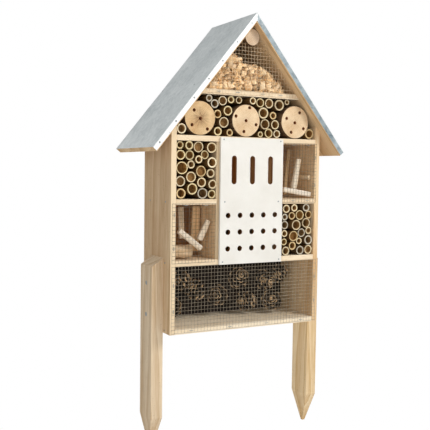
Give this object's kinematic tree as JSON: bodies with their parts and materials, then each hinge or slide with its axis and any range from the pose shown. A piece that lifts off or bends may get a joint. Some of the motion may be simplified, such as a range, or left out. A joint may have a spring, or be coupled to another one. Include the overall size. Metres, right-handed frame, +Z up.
{
  "type": "insect hotel",
  "caption": "Wooden insect hotel on two ground stakes, with a pitched metal roof, a slotted white panel, and bays of canes, logs, sticks, cones and wood wool behind wire mesh.",
  "frame": {"origin": "on the ground line of the stake points, in the middle of the roof's width and depth", "axes": "+Z up, +Y from the front to the back, +X to the right as seen from the front"},
  "size_m": [0.389, 0.1656, 0.7621],
  "materials": {
    "fir_boards": "planed softwood, untreated",
    "plywood": "thin plywood, untreated",
    "stake_wood": "sawn softwood, untreated",
    "white_paint": "thin board painted matt white",
    "zinc_sheet": "galvanised, matt spangle",
    "wire_mesh": "galvanised welded wire",
    "fasteners": "zinc plated",
    "bamboo": "sawn bamboo cane",
    "log_wood": "sawn end grain, peeled",
    "sticks": "weathered split wood",
    "pine_cone": "dry open pine cone",
    "wood_wool": "loose wood shavings"
  },
  "bodies": {
    "root": {"apex_log": "log_wood", "back_brads": "fasteners", "back_panel": "plywood", "bark_chunk": "sticks", "base_shelf": "fir_boards", "board_leaning": "sticks", "butterfly_panel": "white_paint", "canes_left_bay": "bamboo", "canes_log_bay": "bamboo", "canes_right_bay": "bamboo", "divider_left": "fir_boards", "divider_right": "fir_boards", "gable_shelf": "fir_boards", "lip_nails": "fasteners", "log_center": "log_wood", "log_left": "log_wood", "log_right": "log_wood", "lower_shelf": "fir_boards", "mesh_bottom_bay": "wire_mesh", "mesh_gable": "wire_mesh", "mesh_left_bay": "wire_mesh", "mesh_right_bay": "wire_mesh", "mesh_staples": "fasteners", "middle_shelf_center": "fir_boards", "middle_shelf_left": "fir_boards", "middle_shelf_right": "fir_boards", "panel_nails": "fasteners", "pine_cone_1": "pine_cone", "pine_cone_2": "pine_cone", "pine_cone_3": "pine_cone", "pine_cone_4": "pine_cone", "pine_cone_5": "pine_cone", "pine_cone_6": "pine_cone", "pine_cone_7": "pine_cone", "pine_cone_8": "pine_cone", "pine_cone_9": "pine_cone", "roof_board_left": "fir_boards", "roof_board_right": "fir_boards", "roof_sheet": "zinc_sheet", "shelf_brads": "fasteners", "side_wall_left": "fir_boards", "side_wall_right": "fir_boards", "slope_nails": "fasteners", "splint_broad": "sticks", "splint_long": "sticks", "splint_short": "sticks", "splint_upright": "sticks", "stake_left": "stake_wood", "stake_right": "stake_wood", "stake_screws": "fasteners", "stick_broad": "sticks", "stick_pointing": "sticks", "stick_thin_short": "sticks", "stick_thin_tall": "sticks", "top_shelf": "fir_boards", "wood_wool": "wood_wool"}
  },
  "joints": []
}
